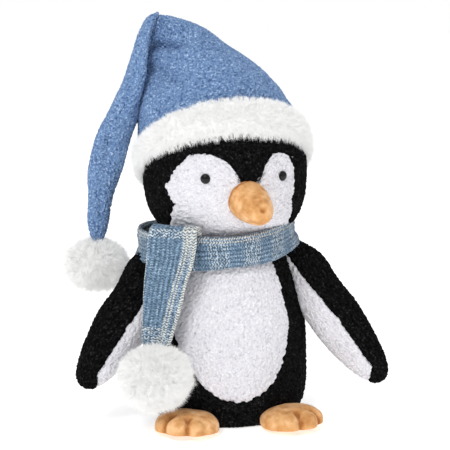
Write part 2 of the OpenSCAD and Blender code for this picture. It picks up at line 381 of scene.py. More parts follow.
class Finish:
    """A node material on a Principled shader."""

    def __init__(self, name, roughness, **constants):
        self.material = bpy.data.materials.new(name)
        self.material.use_nodes = True
        self.tree = self.material.node_tree
        self.shader = self.tree.nodes["Principled BSDF"]
        self.shader.inputs["Roughness"].default_value = roughness
        for key, value in constants.items():
            self.shader.inputs[key.replace("_", " ")].default_value = value

    def node(self, kind, settings, values, out=0):
        made = self.tree.nodes.new(kind)
        for key, value in settings.items():
            if key == "stops":
                ramp = made.color_ramp
                while len(ramp.elements) < len(value):
                    ramp.elements.new(0.5)
                for element, (position, colour) in zip(ramp.elements, value):
                    element.position, element.color = position, (*colour, 1)
            else:
                setattr(made, key, value)
        for key, value in values.items():
            socket = made.inputs[key]
            if isinstance(value, Value):
                self.tree.links.new(value.socket, socket)
            elif isinstance(value, tuple) and len(value) == 3 and socket.type == "RGBA":
                socket.default_value = (*value, 1)
            else:
                socket.default_value = value
        return Value(self, made.outputs[out])

    def feed(self, name, value):
        self.tree.links.new(value.socket, self.shader.inputs[name])

    def place(self):
        return self.node("ShaderNodeTexCoord", {}, {}, "Object")

    def number(self, name):
        return self.node("ShaderNodeAttribute", {"attribute_name": name}, {}, "Fac")

    def noise(self, size_mm, detail=2, where=None):
        where = where or self.place()
        return self.node("ShaderNodeTexNoise", {}, {"Vector": where, "Scale": 1 / (size_mm * MM), "Detail": detail})

    def ramp(self, value, *stops):
        return self.node("ShaderNodeValToRGB", {"stops": stops}, {0: value})

    def mix(self, share, a, b):
        return self.node("ShaderNodeMix", {"data_type": "RGBA"}, {0: share, 6: a, 7: b}, 2)

    def bump(self, height, strength, depth_mm):
        values = {"Strength": strength, "Distance": depth_mm * MM, "Height": height}
        self.feed("Normal", self.node("ShaderNodeBump", {}, values))


def plush_finish(name, gap, body, tip, fleck, sheen):
    """Curly plush: painted shade darkens the colour from the curl tops into the gaps between them, with single pale
    fibres on top; on the black plush the pale top stop is a painted highlight.
    """
    f = Finish(name, 1.0, Sheen_Weight=sheen, Sheen_Roughness=0.6, Specular_IOR_Level=0.06)
    pile = f.number("pile")
    fine = f.noise(1.7, 3)
    tone = pile * 0.75 + (fine - 0.5) * 1.7 + (f.noise(14) - 0.5) * 0.25 + 0.15
    # Painted shade: the ramp runs from the dark gap colour in the hollows between the curls up to the pale top
    # stop.
    colour = f.ramp(tone, (0.0, gap), (0.38, body), (0.8, tip), (1.0, fleck))
    f.feed("Base Color", colour)
    f.bump(fine + pile, 0.9, 1.1)
    return f.material


def fur_finish(name, deep_shade, tip):
    """Long white fur: painted shade makes it greyer where it lies deep, and a faint white glow is painted light."""
    f = Finish(name, 0.9, Sheen_Weight=0.4, Sheen_Roughness=0.5, Specular_IOR_Level=0.2)
    # Painted light: a faint white glow that lifts the fur's shade.
    f.shader.inputs["Emission Color"].default_value = (1, 1, 0.99, 1)
    f.shader.inputs["Emission Strength"].default_value = 0.1
    depth = f.number("depth")
    f.feed("Base Color", f.ramp(depth + (f.noise(7) - 0.5) * 0.3, (0.0, deep_shade), (0.5, tip)))
    f.bump(f.noise(0.8), 0.3, 0.3)
    return f.material


def velour_finish(name, low, middle, high):
    """Short orange velour whose nap shades from light to dark in patches."""
    f = Finish(name, 0.8, Sheen_Weight=0.15, Sheen_Roughness=0.4, Specular_IOR_Level=0.2)
    nap = f.noise(9, 4)
    fine = f.noise(0.6, 2)
    # Painted shade: darker where the velour creases and where the beak meets the face.
    tone = (nap - 0.5) * 1.1 + fine * 0.3 - f.number("crease") * 0.5 + 0.32
    f.feed("Base Color", f.ramp(tone, (0.12, low), (0.45, middle), (0.72, high)))
    f.bump(fine + nap * 0.4, 0.35, 0.3)
    return f.material


# The scarf's yarns: millimetres from rib to rib and from one pick to the next.
RIB, PICK = 4.6, 2.5
# How far a yarn's streaks are drawn out along it, against their width.
STREAK = 0.2


def woven_finish(name):
    """A loose plaid weave: blue ribs, white flecks in cross bands, cream lines along one edge."""
    f = Finish(name, 0.9, Sheen_Weight=0.2, Sheen_Roughness=0.5, Specular_IOR_Level=0.2)
    along, across = f.number("along"), f.number("across")
    rib = across.wave(RIB)
    wander = (f.noise(9, 2) - 0.5) * 5
    pick = (along + wander + across.sine(RIB) * 0.6).wave(PICK)
    spot = f.noise(1.7, 3)
    weft = f.noise(1.6, 2, f.node("ShaderNodeCombineXYZ", {}, {0: across * (STREAK * MM), 1: along * MM}))
    warp = f.noise(2.2, 2, f.node("ShaderNodeCombineXYZ", {}, {0: across * MM, 1: along * (STREAK * MM)}))
    tone = rib * 0.32 + pick * 0.36 + (spot - 0.5) * 1.5 + (weft - 0.5) * 1.0 + (warp - 0.5) * 0.9 - 0.01
    blue = f.ramp(
        tone,
        (0.0, (0.055, 0.1, 0.15)),
        (0.4, (0.15, 0.245, 0.36)),
        (0.75, (0.28, 0.41, 0.56)),
        (1.0, (0.56, 0.66, 0.76)),
    )
    cream = f.ramp(spot + (pick - 0.5) * 0.5, (0.3, (0.3, 0.33, 0.33)), (0.6, (0.8, 0.8, 0.75)))
    fleck = (spot + pick * 0.22 + (weft - 0.5) * 0.4) > 0.67
    colour = f.mix((fleck * f.number("flecks")).clamp(), blue, (0.66, 0.71, 0.74))
    colour = f.mix((f.number("cream") * (pick * 0.6 + spot * 1.6 - 0.3)).clamp(), colour, cream)
    f.feed("Base Color", colour)
    f.bump(rib * 0.7 + pick * 0.6 + spot, 0.9, 0.9)
    return f.material


def plain_finish(name, low, high, roughness, size_mm, depth_mm, **constants):
    """A plainer material with a fine grain."""
    f = Finish(name, roughness, **constants)
    grain = f.noise(size_mm, 3)
    f.feed("Base Color", f.ramp(grain, (0.3, low), (0.7, high)))
    f.bump(grain, 0.3, depth_mm)
    return f.material


# Each plush's darkest gap colour is painted shade between the curls.
white_plush = plush_finish(
    "white_curly_plush", (0.52, 0.52, 0.56), (0.73, 0.72, 0.77), (0.82, 0.81, 0.85), (0.93, 0.93, 0.95), 0.05
)
# The black plush's pale top stop is a painted highlight on the curl tops.
black_plush = plush_finish(
    "black_curly_plush",
    (0.0008, 0.0008, 0.0008),
    (0.002, 0.002, 0.0022),
    (0.007, 0.007, 0.0075),
    (0.03, 0.03, 0.032),
    0.0,
)
blue_plush = plush_finish(
    "blue_curly_plush", (0.045, 0.09, 0.2), (0.12, 0.21, 0.4), (0.21, 0.335, 0.56), (0.46, 0.6, 0.82), 0.06
)
# The fur's grey deep colour is painted shade.
white_fur = fur_finish("white_fur", (0.78, 0.78, 0.78), (0.92, 0.92, 0.915))
orange_velour = velour_finish("orange_velour", (0.42, 0.16, 0.04), (0.72, 0.37, 0.14), (0.92, 0.57, 0.3))
scarf_weave = woven_finish("scarf_weave")
fill_fibre = plain_finish("polyester_fibre", (0.75, 0.75, 0.73), (0.9, 0.9, 0.88), 0.9, 4, 1)
bag_cloth = plain_finish("bag_cloth", (0.6, 0.56, 0.48), (0.75, 0.71, 0.62), 0.9, 1.2, 0.3)
pellet_plastic = plain_finish("pellet_plastic", (0.5, 0.53, 0.55), (0.68, 0.7, 0.72), 0.4, 3, 1)
washer_plastic = plain_finish("washer_plastic", (0.6, 0.6, 0.6), (0.66, 0.66, 0.66), 0.45, 1.5, 0.1)
eye_plastic = plain_finish(
    "eye_plastic", (0.002, 0.002, 0.002), (0.004, 0.004, 0.004), 0.16, 3, 0.02, Specular_IOR_Level=0.3
)
black_thread = plain_finish("black_thread", (0.005, 0.005, 0.005), (0.02, 0.02, 0.02), 0.7, 0.5, 0.1)
white_thread = plain_finish("white_thread", (0.7, 0.7, 0.68), (0.85, 0.85, 0.83), 0.7, 0.5, 0.1)
orange_thread = plain_finish("orange_thread", (0.45, 0.16, 0.04), (0.6, 0.25, 0.08), 0.7, 0.5, 0.1)


def dress(piece, material):
    piece.data.materials.clear()
    piece.data.materials.append(material)


# The CAD pieces that stay as they are: stuffing, hardware and threads.
CAD_LOOKS = (
    (fill_fibre, ("body_stuffing", "head_stuffing", "hat_pompom_filling", "scarf_pompom_filling")),
    (bag_cloth, ("weight_bag",)),
    (pellet_plastic, ("weight_pellets",)),
    (washer_plastic, ("left_eye_washer", "right_eye_washer")),
    (eye_plastic, ("left_eye", "right_eye")),
    (black_thread, ("neck_stitching",)),
    (white_thread, ("hat_pompom_tie", "scarf_pompom_tie")),
)
for material, nodes in CAD_LOOKS:
    for node in nodes:
        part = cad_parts[node]
        for index in range(len(part.data.materials)):
            part.data.materials[index] = material
        if not part.data.materials:
            part.data.materials.append(material)


# ---------------------------------------------------------------- torso

BODY_R, BODY_WIDE_Z, BODY_UP, BODY_DOWN = 81, 45, 150, 63.5
NECK_Z = 178
BELLY_Z, BELLY_UP, BELLY_DOWN, BELLY_MEAN_R = 106, 84, 79, 62
# How far a belly panel is cut past its edge, to be turned under.
PANEL_LAP = 1.2
# How square the belly panel is: 2 would be an ellipse.
BELLY_SQUARE = 2.2
# Half the width of the groove that a sewn seam leaves in the pile.
SEAM = 2.2
# A millimetre figure for the back half of a form, far outside any front panel.
FAR_OUTSIDE = 60


def body_radius(z):
    z = np.asarray(z, float)
    up = quarter((z - BODY_WIDE_Z) / BODY_UP, 2.6)
    down = quarter((BODY_WIDE_Z - z) / BODY_DOWN, 3)
    return BODY_R * np.where(z > BODY_WIDE_Z, up, down)


def belly_half(x, z):
    """The belly panel's half-width: narrower at the top, fuller under the scarf."""
    return 54 * (1 - 0.09 * ease((z - 95) / 35)) + np.where(x < 0, 8 * hump(z - 105, 42), 0)


def belly_outside(x, z):
    """Millimetres outside the belly panel's edge, negative inside it."""
    wide = belly_half(x, z)
    tall = np.where(z < BELLY_Z, BELLY_DOWN, BELLY_UP)
    f = np.power(np.abs(x) / wide, BELLY_SQUARE) + np.power(np.abs(z - BELLY_Z) / tall, BELLY_SQUARE)
    return (np.power(f + 1e-9, 1 / BELLY_SQUARE) - 1) * BELLY_MEAN_R


def body_profile():
    z = np.linspace(0, NECK_Z, 300)
    rim = [(r, 0.0) for r in np.linspace(0, float(body_radius(0)), 60)]
    side = list(zip(body_radius(z), z))
    top = [(r, NECK_Z) for r in np.linspace(float(body_radius(NECK_Z)), 0, 40)]
    return rim + side[1:] + top[1:]


def ragged(p, size, amount, seed):
    """Uneven millimetres by which curly pile strays over a seam."""
    return soft_noise(p, size, seed) * amount + soft_noise(p, size * 0.45, seed + 1) * amount * 0.5


body, d = ball("body_cover", 108)
place_points(body, turned(d, body_profile()))
p, n = points(body), normals(body)
front = p[:, 1] < 0
outside = np.where(front, belly_outside(p[:, 0], p[:, 2]), FAR_OUTSIDE) + ragged(p, 6, 1.2, 11)
sink = ease(-outside / 3.0) * 5.5
side_seam = hump(p[:, 1] + 4, SEAM) * ease((p[:, 2] - 6) / 10)
back_seam = hump(p[:, 0], SEAM) * (p[:, 1] > 0)
base_seam = hump(np.hypot(p[:, 0], p[:, 1]) - 66, 1.8) * (p[:, 2] < 4)
floor_face = p[:, 2] < 1
slump = soft_noise(p, 45, 21) * 1.3 * (p[:, 2] > 3)
place_points(body, p + n * (slump - sink - 1.2 * side_seam - 1.2 * back_seam - 1.0 * base_seam)[:, None])
raise_pile(body, 3.4, 2.9, 31, share=np.where(floor_face, 0.25, 1.0))
p = points(body)
p[:, 2] = np.maximum(p[:, 2], 0.15)
place_points(body, p)
dress(body, black_plush)
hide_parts("body_shell", "base_panel")
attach(body, "torso")

belly, a, b = disc_grid("belly_panel_plush", 128)
ring = np.maximum(np.hypot(a, b), 1e-6)
swell = np.power(np.abs(a / ring), BELLY_SQUARE) + np.power(np.abs(b / ring), BELLY_SQUARE) + 1e-3
swell = 1 / np.power(swell, 1 / BELLY_SQUARE)
z = BELLY_Z + b * swell * (np.where(b < 0, BELLY_DOWN, BELLY_UP) + PANEL_LAP)
x = a * swell * (belly_half(a, z) + PANEL_LAP)
z = np.clip(z, 14, NECK_Z - 0.5)
r = body_radius(z)
p, n = lay_on_front(belly, np.clip(x, -r * 0.97, r * 0.97), z, r)
edge = ease((belly_outside(p[:, 0], p[:, 2]) + 3.4 + ragged(p, 4, 1.3, 12)) / 3.0)
place_points(belly, p + n * (1.0 + soft_noise(p, 40, 22) * 1.0 - 4.2 * edge)[:, None])
raise_pile(belly, 2.2, 2.5, 32)
apply_modifier(belly, "SOLIDIFY", thickness=0.8 * MM, offset=-1)
dress(belly, white_plush)
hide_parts("belly_panel")
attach(belly, "torso")


# ---------------------------------------------------------------- head

HEAD_R, HEAD_WIDE_Z, HEAD_UP, HEAD_DOWN = 80, 244, 70, 74
HEAD_BOTTOM_Z = 174
HEAD_TURN = 5
FACE_MIDDLE_Z = 215


def head_radius(z):
    z = np.asarray(z, float)
    up = quarter((z - HEAD_WIDE_Z) / HEAD_UP, 2.4)
    down = quarter((HEAD_WIDE_Z - z) / HEAD_DOWN, 2.5)
    return HEAD_R * np.where(z > HEAD_WIDE_Z, up, down)


def face_reach(angle):
    """How far the face panel reaches from its middle, for an angle from straight up."""
    reach = np.zeros_like(angle)
    for step in np.linspace(20, 75, 221):
        x, z = step * np.sin(angle), FACE_MIDDLE_Z + step * np.cos(angle)
        left_lobe = np.hypot((x + 40) / 31.5, (z - 241) / 30.5) < 1
        right_lobe = np.hypot((x - 36) / 19.5, (z - 241) / 30) < 1
        cheeks = np.power(np.abs(x) / np.where(x < 0, 65.5, 54), 2.5) + np.power(np.abs(z - 207) / 38, 2.5) < 1
        reach = np.where(left_lobe | right_lobe | cheeks, step, reach)
    return reach


def face_outside(x, z):
    return np.hypot(x, z - FACE_MIDDLE_Z) - face_reach(np.arctan2(x, z - FACE_MIDDLE_Z))


def head_profile():
    low, high = HEAD_BOTTOM_Z, HEAD_WIDE_Z + HEAD_UP
    z = low + (high - low) * (1 - np.cos(np.linspace(0, math.pi, 400))) / 2
    r = head_radius(np.maximum(z, HEAD_BOTTOM_Z + 2))
    floor = [(q, low) for q in np.linspace(0, float(r[0]), 40)]
    return floor + list(zip(r, z))[1:]


head, d = ball("head_cover", 96)
place_points(head, turned(d, head_profile()))
p, n = points(head), normals(head)
outside = np.where(p[:, 1] < 0, face_outside(p[:, 0], p[:, 2]), FAR_OUTSIDE) + ragged(p, 6, 1.1, 13)
sink = ease(-outside / 3.0) * 5.0
back_seam = hump(p[:, 0], SEAM) * (p[:, 1] > 0)
place_points(head, p + n * (soft_noise(p, 40, 23) * 1.0 - sink - 1.2 * back_seam)[:, None])
raise_pile(head, 3.2, 2.8, 33)
place_points(head, turn_z(points(head), HEAD_TURN))
dress(head, black_plush)
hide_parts("head_shell")
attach(head, "head")

EYE_TURN, EYE_Z = math.radians(28.4), 247
eyes = [np.array([side * HEAD_R * math.sin(EYE_TURN), -HEAD_R * math.cos(EYE_TURN), EYE_Z]) for side in (1, -1)]

face, a, b = disc_grid("face_panel_plush", 128)
angle = np.arctan2(a, b)
reach = face_reach(angle) + 0.8
ring = np.hypot(a, b)
x, z = ring * reach * np.sin(angle), FACE_MIDDLE_Z + ring * reach * np.cos(angle)
z = np.clip(z, HEAD_BOTTOM_Z + 1, 285)
p, n = lay_on_front(face, x, z, head_radius(z))
edge = ease((face_outside(p[:, 0], p[:, 2]) + 3.2 + ragged(p, 4, 1.4, 14)) / 2.8)
sockets = sum(np.exp(-(((p - eye) ** 2).sum(1)) / 55.0) for eye in eyes)
place_points(face, p + n * (0.9 + soft_noise(p, 30, 24) * 0.7 - 3.8 * edge - 2.0 * sockets)[:, None])
raise_pile(face, 2.2, 2.4, 34, share=1 - 0.6 * np.clip(sockets, 0, 1))
apply_modifier(face, "SOLIDIFY", thickness=0.8 * MM, offset=-1)
place_points(face, turn_z(points(face), HEAD_TURN))
dress(face, white_plush)
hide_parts("face_panel")
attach(face, "head")

BEAK_R, BEAK_LONG = 18.8, 49.5
# The beak's turn down from upright, its turn aside, and where it leaves the face.
BEAK_DROP, BEAK_ASIDE, BEAK_ROOT = 105, 10, (0, -70, 228)


def beak_form(name, cuts, inset):
    """The beak: a stuffed velour cone, pulled in under its tip by one stitch."""
    piece, d = ball(name, cuts)
    s = np.linspace(0, 1, 200)
    r = BEAK_R * quarter(np.maximum(0, s - 0.16) / 0.84, 1.95) * (1 + 0.02 * np.sin(s * 8))
    profile = [(q, 0.0) for q in np.linspace(0, BEAK_R - 0.5, 20)] + list(zip(r, s * BEAK_LONG))[1:]
    p = turned(d, profile)
    pull = np.exp(-((p - (-2.0, 6.5, 45.0)) ** 2).sum(1) / 9.0)
    p = p - pull[:, None] * np.array([0, 3.0, 0.6]) + (soft_noise(p, 12, 25) * 0.3)[:, None] * d
    place_points(piece, p)
    p = p - normals(piece) * inset
    # Painted shade: darker under the stitch's pull and round the beak's root.
    keep_number(piece, "crease", np.clip(pull * 1.4 + 0.5 * (p[:, 2] < 9), 0, 1))
    p = turn_z(turn_x(p, BEAK_DROP), BEAK_ASIDE) + BEAK_ROOT
    place_points(piece, turn_z(p, HEAD_TURN))
    smooth(piece)
    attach(piece, "head")
    return piece


beak = beak_form("beak_velour", 44, 0)
dress(beak, orange_velour)
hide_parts("beak_skin")
beak_wad = beak_form("beak_wad", 20, 2.2)
dress(beak_wad, fill_fibre)
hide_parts("beak_stuffing")


# ---------------------------------------------------------------- fur

STRANDS_IN_TUFT = 24
# A blade's points, and its corners: four on its quad and three on its tip.
BLADE_POINTS, BLADE_CORNERS = 5, 7

def fur(name, base, count, length, width, lay, keep, seed, stand, swirl_share):
    """Strands of fur over a base, each a flat tapered blade of a quad and a tip, in tufts that lean together.

    lay gives the way the fur is combed at each root, stand how upright it is and swirl_share how much
    the tufts differ; keep gives each face of the base its share of the strands.
    """
    mesh = base.data
    mesh.calc_loop_triangles()
    tri = np.empty(len(mesh.loop_triangles) * 3, np.int32)
    mesh.loop_triangles.foreach_get("vertices", tri)
    tri = tri.reshape(-1, 3)
    p, n = points(base), normals(base)
    middle = p[tri].mean(1)
    area = np.linalg.norm(np.cross(p[tri[:, 1]] - p[tri[:, 0]], p[tri[:, 2]] - p[tri[:, 0]]), axis=1)
    area = area * keep(middle, n[tri].mean(1))
    chance = np.random.default_rng(seed)
    pick = chance.choice(len(tri), count, p=area / area.sum())
    u, v = chance.random((2, count))
    flip = u + v > 1
    u, v = np.where(flip, 1 - u, u), np.where(flip, 1 - v, v)
    w = np.stack([1 - u - v, u, v], -1)[:, :, None]
    root = (p[tri[pick]] * w).sum(1)
    normal = (n[tri[pick]] * w).sum(1)
    normal /= np.linalg.norm(normal, axis=1)[:, None]
    tufts = count // STRANDS_IN_TUFT
    tree = KDTree(tufts)
    centres = root[chance.choice(count, tufts, replace=False)]
    for i, c in enumerate(centres):
        tree.insert(c, i)
    tree.balance()
    mate = np.array([tree.find(q)[1] for q in root])
    swirl = chance.normal(0, swirl_share, (len(centres), 3))[mate]
    size = length * chance.uniform(0.65, 1.15, count)[:, None]
    direction = normal * stand + lay(root, normal) + swirl + chance.normal(0, 0.3, (count, 3))
    direction += normal * np.clip(0.25 - (direction * normal).sum(1), 0, 2)[:, None]
    direction /= np.linalg.norm(direction, axis=1)[:, None]
    end = root + direction * size
    pull = centres[mate] + (normal * stand + lay(root, normal) + swirl) * length * 0.7
    end = end + (pull - end) * chance.uniform(0.05, 0.35, count)[:, None]
    end = end + np.array([0, 0, -1]) * size * 0.12
    half = (root + end) / 2 + normal * size * 0.1
    side = np.cross(end - root, normal + chance.normal(0, 0.5, (count, 3)))
    side /= np.linalg.norm(side, axis=1)[:, None]
    side *= width / 2
    root = root - normal * 0.5
    blade = np.stack([root - side, root + side, half - side * 0.8, half + side * 0.8, end], 1)
    first = np.arange(count)[:, None] * BLADE_POINTS
    quads = first + np.array([0, 1, 3, 2])
    tips = first + np.array([2, 3, 4])
    made = bpy.data.meshes.new(name)
    made.vertices.add(count * BLADE_POINTS)
    made.vertices.foreach_set("co", (blade * MM).astype(np.float32).ravel())
    loops = np.concatenate([quads, tips], 1).ravel()
    made.loops.add(len(loops))
    made.loops.foreach_set("vertex_index", loops.astype(np.int32))
    made.polygons.add(count * 2)
    starts = (np.arange(count)[:, None] * BLADE_CORNERS + np.array([0, 4])).ravel()
    made.polygons.foreach_set("loop_start", starts.astype(np.int32))
    made.update(calc_edges=True)
    made.validate()
    strands = bpy.data.objects.new(name, made)
    bpy.context.scene.collection.objects.link(strands)
    # Painted shade: the depth number makes each strand grey at its root and white at its tip.
    keep_number(strands, "depth", np.tile([0.0, 0.0, 0.6, 0.6, 1.0], count))
    smooth(strands)
    return strands


def fluff(base, lumps, seed, rough=2.0):
    """Gives the cloth under fur its soft clumps."""
    p, n = points(base), normals(base)
    h = nubs(p, lumps, seed)
    place_points(base, p + n * ((h - 0.5) * rough + soft_noise(p, 22, seed + 1) * 1.2)[:, None])
    # Painted shade: the depth number greys the gaps between the clumps.
    keep_number(base, "depth", h * 0.6)
    smooth(base)


CUFF_R, CUFF_THICK, CUFF_TILT = 86, 8, 28
CUFF_MIDDLE = np.array([-1, 11.5, 264.0])


def to_cuff(p):
    return turn_z(turn_x(p, -CUFF_TILT) + CUFF_MIDDLE, HEAD_TURN)


cuff, around, c, s = hoop("cuff_cloth", CUFF_R, CUFF_THICK, 220, 44)
bulge, rise = signed_power(c, 0.7), signed_power(s, 0.7)
left, right = np.clip(-np.cos(around), 0, 1) ** 1.5, np.clip(np.cos(around), 0, 1) ** 2
r = CUFF_R + bulge * 5.0 - 1.6 * (rise > 0) * rise ** 2 - 6.5 * left - 4.5 * right
half_tall = np.where(rise > 0, 16.5 - 4 * left - 4 * right, 17 - 3 * left)
place_points(cuff, to_cuff(np.stack([r * np.cos(around), r * np.sin(around), rise * half_tall], -1)))
fluff(cuff, 9, 41, 1.0)
dress(cuff, white_fur)
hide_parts("hat_cuff")
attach(cuff, "head")

cuff_heart, above = to_cuff(np.array([[0, 0, 0.0], [0, 0, 1.0]]))
cuff_axis = above - cuff_heart


def cuff_lay(root, normal):
    """The cuff's fur is combed down below its middle and a little up above it."""
    height = ((root - cuff_heart) @ cuff_axis)[:, None]
    return cuff_axis * np.where(height < -CUFF_THICK, -0.55, 0.15)


def cuff_keep(middle, normal):
    """All strands on the cuff's outside and none on the side that lies against the head."""
    away = middle - cuff_heart
    away = away - (away @ cuff_axis)[:, None] * cuff_axis
    away /= np.linalg.norm(away, axis=1)[:, None]
    return np.clip((normal * away).sum(1) + 0.75, 0, 1)


cuff_strands = fur(
    "cuff_strands", cuff, count=62000, length=7.0, width=0.27,
    lay=cuff_lay, keep=cuff_keep, seed=51, stand=0.8, swirl_share=0.38,
)
dress(cuff_strands, white_fur)
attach(cuff_strands, "head")

# How deep the fur stands on a pompom's cloth core, and how long its strands are.
POMPOM_PILE, POMPOM_STRAND = 8.5, 10.5


def no_lay(root, normal):
    return np.zeros((len(root), 3))


def keep_all(middle, normal):
    return np.ones(len(middle))


def pompom(name, middle, radii, body, node, seed, count):
    """A pompom with the given outer radii: a cloth core under standing fur."""
    core, d = ball(f"{name}_cloth", 40)
    place_points(core, d * (np.array(radii) - POMPOM_PILE) + middle)
    fluff(core, 8, seed)
    dress(core, white_fur)
    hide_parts(node)
    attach(core, body)
    hair = fur(
        f"{name}_strands", core, count=count, length=POMPOM_STRAND, width=0.26,
        lay=no_lay, keep=keep_all, seed=seed + 1, stand=0.75, swirl_share=0.55,
    )
    dress(hair, white_fur)
    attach(hair, body)


pompom("hat_pompom", np.array([-127.0, 30, 148.5]), (35, 31, 29), "cap_pompom", "hat_pompom_fur", 61, 42000)
pompom("scarf_pompom", np.array([-82, -81, 58]), (38, 35, 33.5), "scarf_ball", "scarf_pompom_fur", 71, 56000)


# ---------------------------------------------------------------- cap

# How far back the cap's point and its fold sit.
CAP_Y = 26
# Each ring of the crown: left point (x, z), right point (x, z), its middle's y, half-depth and tilt.
CROWN_RINGS = [
    (-82, 268, 78, 268, 14, 77, 28),
    (-84, 281, 75, 286, 19, 75, 28),
    (-85, 294, 65, 303, 21, 71, 26),
    (-84.5, 307, 51.5, 321, 23, 65, 22),
    (-82.5, 321, 35, 339.5, 24, 57, 17),
    (-80, 336, 16.5, 358, 25, 48, 12),
    (-77, 350, 0.5, 373, 25.5, 39, 8),
    (-74.5, 364, -14, 384, 26, 30, 4),
    (-73.5, 375, -30, 392, 26, 22, 2),
    (-73, 383, -46, 396.5, 26, 15, 0),
    (-74, 390, -58, 398, 26, 9, 0),
    (-69, 394, -66, 395.5, 26, 0.01, 0),
]


def ring_points(values, angle):
    """Points round slanted rings, from each ring's left and right points, depth and tilt."""
    left_x, left_z, right_x, right_z, y, half, tilt = values.T
    c, s = np.cos(angle), np.sin(angle)
    lean = np.radians(tilt)
    px = (left_x + right_x) / 2 + c * (right_x - left_x) / 2
    pz = (left_z + right_z) / 2 + c * (right_z - left_z) / 2 - s * half * np.sin(lean)
    return np.stack([px, y + s * half * np.cos(lean), pz], -1)


def fold(p, start, end, depth, width):
    """How deep a point lies in a fold that runs from one point to another, nearest its middle."""
    start, end = np.array(start, float), np.array(end, float)
    run = end - start
    t = np.clip(((p - start) @ run) / (run @ run), 0, 1)
    off = np.linalg.norm(p - start - t[:, None] * run, axis=1)
    return depth * hump(off, width) * np.sin(np.clip(t, 0.02, 0.98) * math.pi) ** 0.5


def front_fold(p, start, end, depth, width):
    """The same for the crown's front, with the fold's ends given as (x, z)."""
    flat = p * (1, 0, 1)
    start, end = (start[0], 0, start[1]), (end[0], 0, end[1])
    return fold(flat, start, end, depth, width) * ease((30 - p[:, 1]) / 12)


def crown_form(name, around, up, share, low, high):
    """A closed form on the crown's rings, from one height share to another, at a share of their size."""
    piece, a, b = sheet_grid(name, around, up)
    t = low + (high - low) * (b + 1) / 2
    rings = curve_through(CROWN_RINGS, t)
    angle = (a + 1) * math.pi
    p = ring_points(rings, angle)
    beside_tail = np.clip(-np.cos(angle), 0, 1) * ease((t - 0.15) / 0.3)
    p[:, 1] = CAP_Y + (p[:, 1] - CAP_Y) * (1 - 0.55 * beside_tail)
    middle = np.stack([(rings[:, 0] + rings[:, 2]) / 2, rings[:, 4], (rings[:, 1] + rings[:, 3]) / 2], -1)
    place_points(piece, middle + (p - middle) * share)
    close_tube(piece)
    return piece


crown = crown_form("crown_plush", 400, 230, 1, 0, 1)
p, n = points(crown), normals(crown)
dents = (
    front_fold(p, (-82, 366), (-40, 370), 9.0, 4.5)
    + front_fold(p, (-80, 349), (-48, 334), 6.0, 6)
    + front_fold(p, (-66, 390), (-30, 372), 2.6, 4.5)
    + front_fold(p, (-60, 300), (-10, 335), 1.8, 10)
    + fold(p, (-60, -40, 318), (-20, -54, 342), 2.0, 9)
    + fold(p, (-74, 0, 350), (-62, -34, 330), 3.0, 6)
    + fold(p, (-64, -4, 390), (-71, -40, 316), 9.0, 9)
    + fold(p, (10, -52, 312), (12, -36, 345), 1.6, 5)
    + fold(p, (-30, 60, 372), (-10, 70, 340), 3.0, 8)
    + fold(p, (-62, 44, 378), (-56, 62, 340), 3.0, 6)
)
place_points(crown, p + n * (soft_noise(p, 42, 26) * 3.2 + soft_noise(p, 18, 27) * 1.1 - dents)[:, None])
raise_pile(crown, 2.4, 2.4, 35)
dress(crown, blue_plush)
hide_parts("hat_crown")
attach(crown, "head")

hat_wad = crown_form("hat_wad", 60, 40, 0.66, 0.3, 0.5)
edit(hat_wad, close_ends)
p, n = points(hat_wad), normals(hat_wad)
place_points(hat_wad, p + n * (soft_noise(p, 20, 44) * 1.5)[:, None])
smooth(hat_wad)
dress(hat_wad, fill_fibre)
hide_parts("hat_stuffing")
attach(hat_wad, "head")

# Each ring of the hanging end: left x, right x, height, middle's y, half-depth.
TAIL_RINGS = [
    (-71, -67, 392, 26, 2),
    (-73.5, -63, 396, 23, 9),
    (-83.5, -69, 380, 17, 13),
    (-92, -71.5, 357, 12, 16),
    (-101, -74, 335, 11, 17),
    (-113, -77, 311, 14, 17),
    (-124, -83, 290, 20, 15),
    (-130.5, -93, 266, 26, 13),
    (-133.5, -99.5, 245, 27, 12),
    (-134, -107, 223, 28, 11),
    (-134, -112.5, 201, 29, 9.5),
    (-132.5, -116.5, 182, 30, 7.5),
    (-129, -120, 170, 30, 4),
]
tail, a, b = sheet_grid("cap_tail_plush", 110, 260)
t = (b + 1) / 2
left_x, right_x, height, y, half = curve_through(TAIL_RINGS, t).T
angle = (a + 1) * math.pi
side = signed_power(np.cos(angle), 0.85) * (right_x - left_x) / 2
slope = np.interp(t, [0, 0.08, 0.2, 0.5, 0.7, 1], [0.7, 0.55, 0.42, 0.42, 0.15, 0.0])
place_points(tail, np.stack([(left_x + right_x) / 2 + side, y + np.sin(angle) * half, height + slope * side], -1))
close_tube(tail)
p, n = points(tail), normals(tail)
dents = (
    fold(p, (-84, 2, 366), (-90, -4, 325), 4, 4)
    + fold(p, (-96, -6, 330), (-106, 0, 285), 4, 5)
    + fold(p, (-66, 8, 390), (-76, 6, 300), 7, 8)
    + fold(p, (-112, 8, 300), (-116, 14, 240), 3, 5)
    + fold(p, (-100, 36, 330), (-112, 38, 270), 4, 6)
    + fold(p, (-122, 18, 235), (-124, 22, 195), 2, 4)
)
place_points(tail, p + n * (soft_noise(p, 24, 28) * 1.2 - dents)[:, None])
raise_pile(tail, 2.4, 2.3, 36)
dress(tail, blue_plush)
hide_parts("hat_tail")
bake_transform(tail)


# ---------------------------------------------------------------- scarf


def weave_numbers(piece, along, across, flecks, cream):
    keep_number(piece, "along", along)
    keep_number(piece, "across", across)
    keep_number(piece, "flecks", flecks)
    keep_number(piece, "cream", cream)


def rows_of_flecks(along, starts, width):
    """1 in each cross band of flecks and 0 between them."""
    found = np.zeros_like(along)
    for start in starts:
        found = np.maximum(found, ease((width / 2 + 1.5 - np.abs(along - start)) / 2))
    return found


